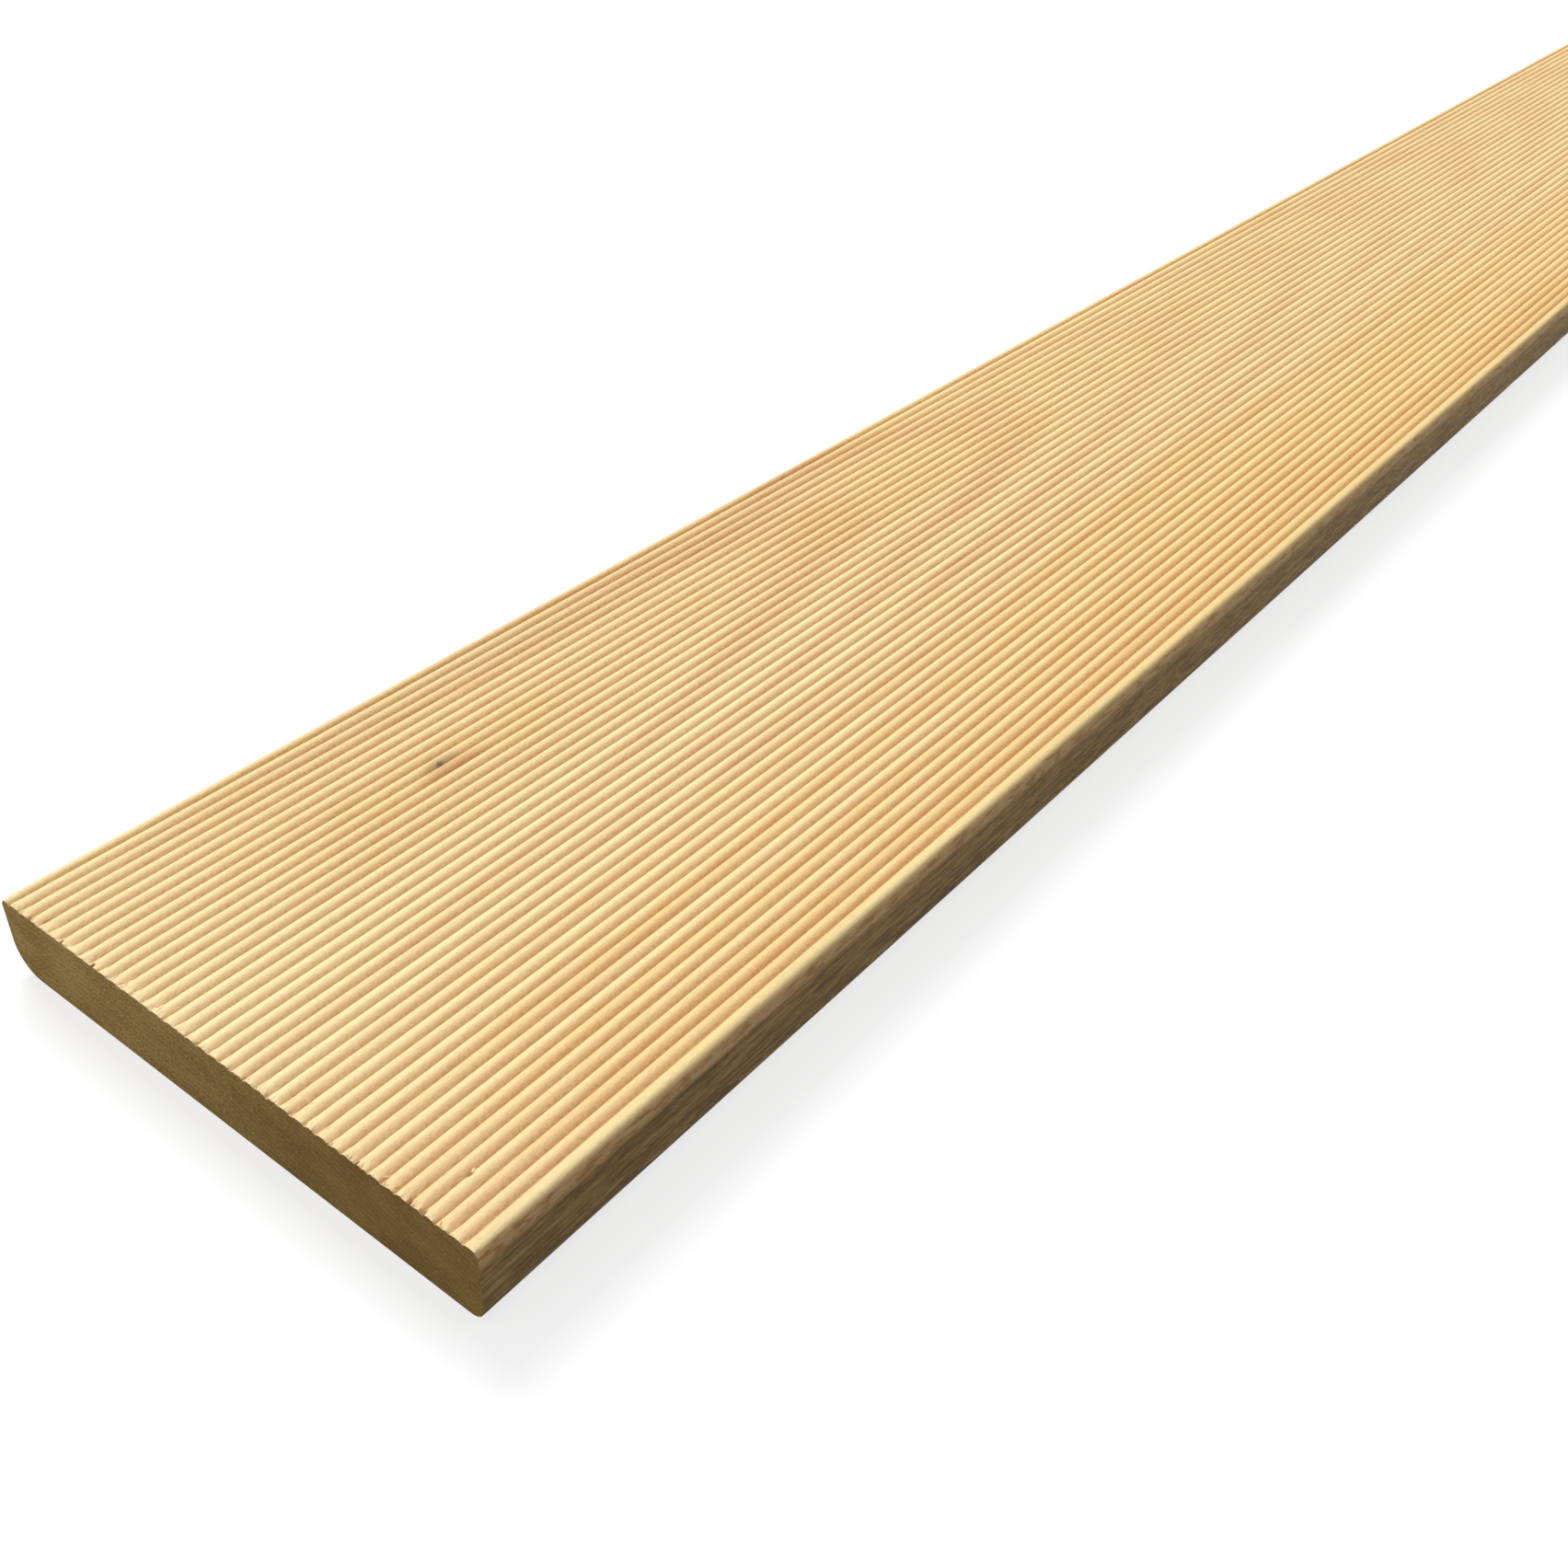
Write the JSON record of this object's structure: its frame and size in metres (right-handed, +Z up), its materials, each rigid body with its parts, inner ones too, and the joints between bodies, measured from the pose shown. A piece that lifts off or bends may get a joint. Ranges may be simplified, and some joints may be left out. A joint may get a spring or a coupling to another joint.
{
  "type": "ribbed wood board",
  "caption": "Solid wood decking board, planed with fine round-topped ribs along the whole top face, eased long edges and square sawn ends.",
  "frame": {"origin": "middle of the underside, on the surface that the board lies on", "axes": "+X across the board, +Y along the grain, +Z up, towards the ribs"},
  "size_m": [0.145, 2, 0.02],
  "materials": {
    "board": "planed and unfinished, with sawn ends"
  },
  "bodies": {
    "root": {"ribbed_board": "board"}
  },
  "joints": []
}
